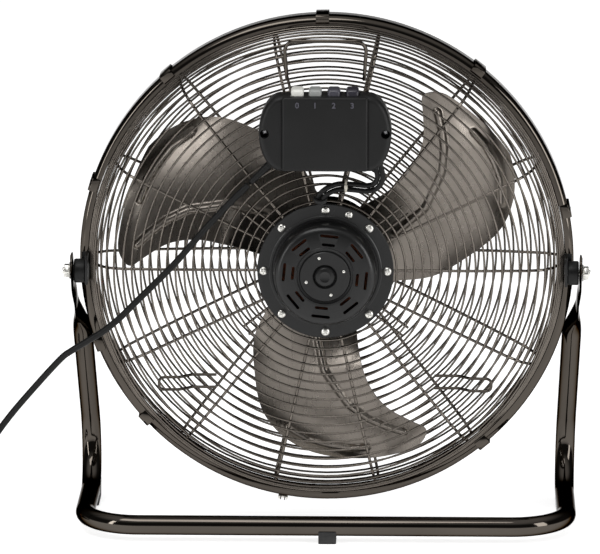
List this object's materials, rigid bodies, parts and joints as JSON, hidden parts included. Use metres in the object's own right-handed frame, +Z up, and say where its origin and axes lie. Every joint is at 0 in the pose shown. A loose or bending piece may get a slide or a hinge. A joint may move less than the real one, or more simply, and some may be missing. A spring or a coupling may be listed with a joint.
{
  "type": "floor fan",
  "caption": "High-velocity floor fan: a wire-caged fan head with a rear switch box and carry handle, tilting on two pivots of a bent-tube floor stand.",
  "frame": {"origin": "centre of the base on the floor, measured without the mains lead", "axes": "+Z up, +Y the way the air blows, +X to the right seen from behind the fan"},
  "size_m": [0.754, 0.214, 0.5349],
  "materials": {
    "gunmetal_chrome": "polished black-nickel plate",
    "guard_wire": "black-nickel plated wire",
    "blade_metal": "polished and tinted pressed sheet",
    "zinc_fastener": "bright zinc plate",
    "bare_steel": "ground",
    "copper_winding": "varnished winding",
    "black_paint": "satin black paint",
    "black_plastic": "fine-textured satin",
    "rubber_black": "matt",
    "cord_jacket": "satin PVC jacket",
    "inner_plastic": "plain",
    "key_white": "satin gloss",
    "key_grey": "satin gloss",
    "key_slate": "satin gloss",
    "key_navy": "satin gloss"
  },
  "bodies": {
    "root": {"stand_tube": "gunmetal_chrome", "rear_foot": "rubber_black", "front_foot_left": "rubber_black", "front_foot_right": "rubber_black", "power_cord": "cord_jacket", "cord_coil": "cord_jacket", "plug": "cord_jacket"},
    "fan_wheel": {"motor_shaft": "bare_steel", "rotor_core": "bare_steel", "blade_hub": "blade_metal", "blade_1": "blade_metal", "blade_2": "blade_metal", "blade_3": "blade_metal", "hub_nut": "black_plastic"},
    "key_body_0": {"key_0": "key_white"},
    "key_body_1": {"key_1": "key_grey"},
    "key_body_2": {"key_2": "key_slate"},
    "key_body_3": {"key_3": "key_navy"},
    "head": {"guard_band": "gunmetal_chrome", "carry_handle": "gunmetal_chrome", "cord_hook_left": "gunmetal_chrome", "cord_hook_right": "gunmetal_chrome", "front_badge": "gunmetal_chrome", "guard_clip_1": "gunmetal_chrome", "guard_clip_2": "gunmetal_chrome", "guard_clip_3": "gunmetal_chrome", "guard_clip_4": "gunmetal_chrome", "guard_clip_5": "gunmetal_chrome", "guard_clip_6": "gunmetal_chrome", "guard_clip_7": "gunmetal_chrome", "guard_clip_8": "gunmetal_chrome", "rear_guard": "guard_wire", "front_guard": "guard_wire", "band_screw": "zinc_fastener", "pivot_bolt_left": "zinc_fastener", "pivot_bolt_right": "zinc_fastener", "plate_screw_1": "zinc_fastener", "plate_screw_2": "zinc_fastener", "plate_screw_3": "zinc_fastener", "plate_screw_4": "zinc_fastener", "plate_screw_5": "zinc_fastener", "plate_screw_6": "zinc_fastener", "plate_screw_7": "zinc_fastener", "plate_screw_8": "zinc_fastener", "bearing_rear": "bare_steel", "bearing_front": "bare_steel", "stator": "copper_winding", "motor_plate": "black_paint", "motor_rear_bell": "black_paint", "motor_front_bell": "black_paint", "pivot_bracket_left": "black_paint", "pivot_bracket_right": "black_paint", "switch_box_base": "black_plastic", "switch_box_cover": "black_plastic", "pivot_spacer_left": "black_plastic", "pivot_spacer_right": "black_plastic", "strain_relief": "cord_jacket", "motor_lead": "cord_jacket", "switch_block": "inner_plastic", "capacitor": "inner_plastic"}
  },
  "joints": [
    {"name": "head_tilt", "type": "hinge", "parent": "root", "child": "head", "pos_m": [0, -0.01982, 0.2678], "axis": [1, 0, 0], "range_deg": [-12, 90], "deforming": ["power_cord"]},
    {"name": "fan_spin", "type": "hinge", "parent": "head", "child": "fan_wheel", "pos_m": [0, 0.01918, 0.277], "axis": [0, 1, 0], "continuous": true},
    {"name": "key_0_press", "type": "slide", "parent": "head", "child": "key_body_0", "axis": [0, 0, -1], "range_m": [0, 0.0045], "stiffness_N_per_m": 300, "springref_m": -0.002},
    {"name": "key_1_press", "type": "slide", "parent": "head", "child": "key_body_1", "axis": [0, 0, -1], "range_m": [0, 0.0045], "stiffness_N_per_m": 300, "springref_m": -0.002},
    {"name": "key_2_press", "type": "slide", "parent": "head", "child": "key_body_2", "axis": [0, 0, -1], "range_m": [0, 0.0045], "stiffness_N_per_m": 300, "springref_m": -0.002},
    {"name": "key_3_press", "type": "slide", "parent": "head", "child": "key_body_3", "axis": [0, 0, -1], "range_m": [0, 0.0045], "stiffness_N_per_m": 300, "springref_m": -0.002}
  ]
}
